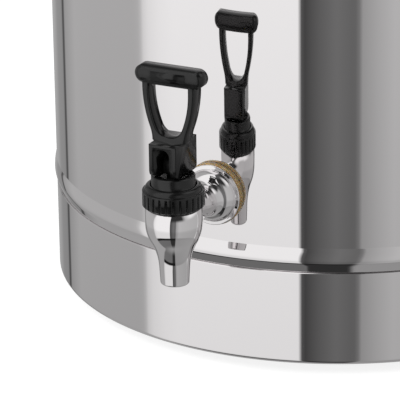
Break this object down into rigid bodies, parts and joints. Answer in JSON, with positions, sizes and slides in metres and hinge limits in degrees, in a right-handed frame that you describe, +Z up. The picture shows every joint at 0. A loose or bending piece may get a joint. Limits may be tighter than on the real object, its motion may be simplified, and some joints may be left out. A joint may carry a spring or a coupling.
{
  "type": "coffee urn",
  "caption": "Percolator coffee urn: polished steel tank on a plain band, dished lid with knob, two side handles, and a no-drip tap with a tipping loop handle.",
  "frame": {"origin": "centre of the foot ring's underside, on the urn's axis, where it stands on the table", "axes": "+Z up along the urn's axis; -Y towards the tap; the side handles are on +X and -X; the appliance inlet is at +Y"},
  "size_m": [0.403, 0.3755, 0.4713],
  "materials": {
    "polished_steel": "mirror polished",
    "chrome": "mirror polished",
    "black_plastic": "glossy moulded",
    "rocker_plastic": "glossy moulded",
    "amber_silicone": "translucent",
    "foot_rubber": "matt moulded",
    "drawn_aluminium": "satin",
    "plain_steel": "satin",
    "stem_acetal": "machined",
    "zinc_steel": "zinc plated",
    "element_sheath": "annealed",
    "thermostat_case": "moulded",
    "fuse_case": "glazed",
    "pin_brass": "bright",
    "lamp_lens": "clear moulded"
  },
  "bodies": {
    "urn": {"tank": "polished_steel", "base_band": "polished_steel", "tap_body": "chrome", "tap_lock_nut": "chrome", "bonnet_nut": "black_plastic", "bonnet": "black_plastic", "right_side_handle": "black_plastic", "left_side_handle": "black_plastic", "switch_housing": "black_plastic", "power_inlet": "black_plastic", "lamp_bezel": "black_plastic", "tap_outer_washer": "amber_silicone", "tap_inner_washer": "amber_silicone", "handle_seals": "amber_silicone", "foot_ring": "foot_rubber", "base_plate": "plain_steel", "element_clamp": "plain_steel", "tap_spring": "plain_steel", "base_studs": "zinc_steel", "base_nuts": "zinc_steel", "handle_screws": "zinc_steel", "clamp_stud": "zinc_steel", "clamp_nut": "zinc_steel", "fuse_clip": "zinc_steel", "main_heating_element": "element_sheath", "keep_warm_element": "element_sheath", "thermostat": "thermostat_case", "terminal_block": "thermostat_case", "thermal_fuse": "fuse_case", "inlet_pins": "pin_brass", "ready_lamp": "lamp_lens"},
    "pump": {"pump_tube": "drawn_aluminium", "pump_foot": "drawn_aluminium", "stop_ring": "drawn_aluminium"},
    "basket": {"coffee_basket": "drawn_aluminium"},
    "spreader": {"spreader_cover": "drawn_aluminium"},
    "lid": {"lid": "polished_steel", "lid_knob": "black_plastic", "knob_screw": "zinc_steel"},
    "valve_stem": {"tap_stem": "stem_acetal", "seat_cup": "amber_silicone"},
    "tap_lever": {"tap_handle": "black_plastic", "handle_pin": "plain_steel"},
    "rocker": {"switch_rocker": "rocker_plastic"}
  },
  "joints": [
    {"name": "pump_lift", "type": "slide", "parent": "urn", "child": "pump", "axis": [0, 0, 1], "range_m": [0, 0.35]},
    {"name": "basket_lift", "type": "slide", "parent": "pump", "child": "basket", "axis": [0, 0, 1], "range_m": [0, 0.095]},
    {"name": "spreader_lift", "type": "slide", "parent": "basket", "child": "spreader", "axis": [0, 0, 1], "range_m": [0, 0.03]},
    {"name": "lid_lift", "type": "slide", "parent": "spreader", "child": "lid", "axis": [0, 0, 1], "range_m": [0, 0.1]},
    {"name": "stem_lift", "type": "slide", "parent": "urn", "child": "valve_stem", "axis": [0, 0, 1], "range_m": [0, 0.004], "deforming": ["tap_spring"]},
    {"name": "handle_tilt", "type": "hinge", "parent": "valve_stem", "child": "tap_lever", "pos_m": [0, -0.2012, 0.1288], "axis": [1, 0, 0], "range_deg": [0, 40], "stiffness_Nm_per_rad": 0.12, "springref_deg": -20.05},
    {"name": "rocker_tilt", "type": "hinge", "parent": "urn", "child": "rocker", "pos_m": [0.11629, -0.09757, 0.03], "axis": [0.6428, 0.766, 0], "range_deg": [0, 16]}
  ],
  "couplings": [
    {"joint": "stem_lift", "follows": "handle_tilt", "m_per_rad": 0.0057295}
  ]
}
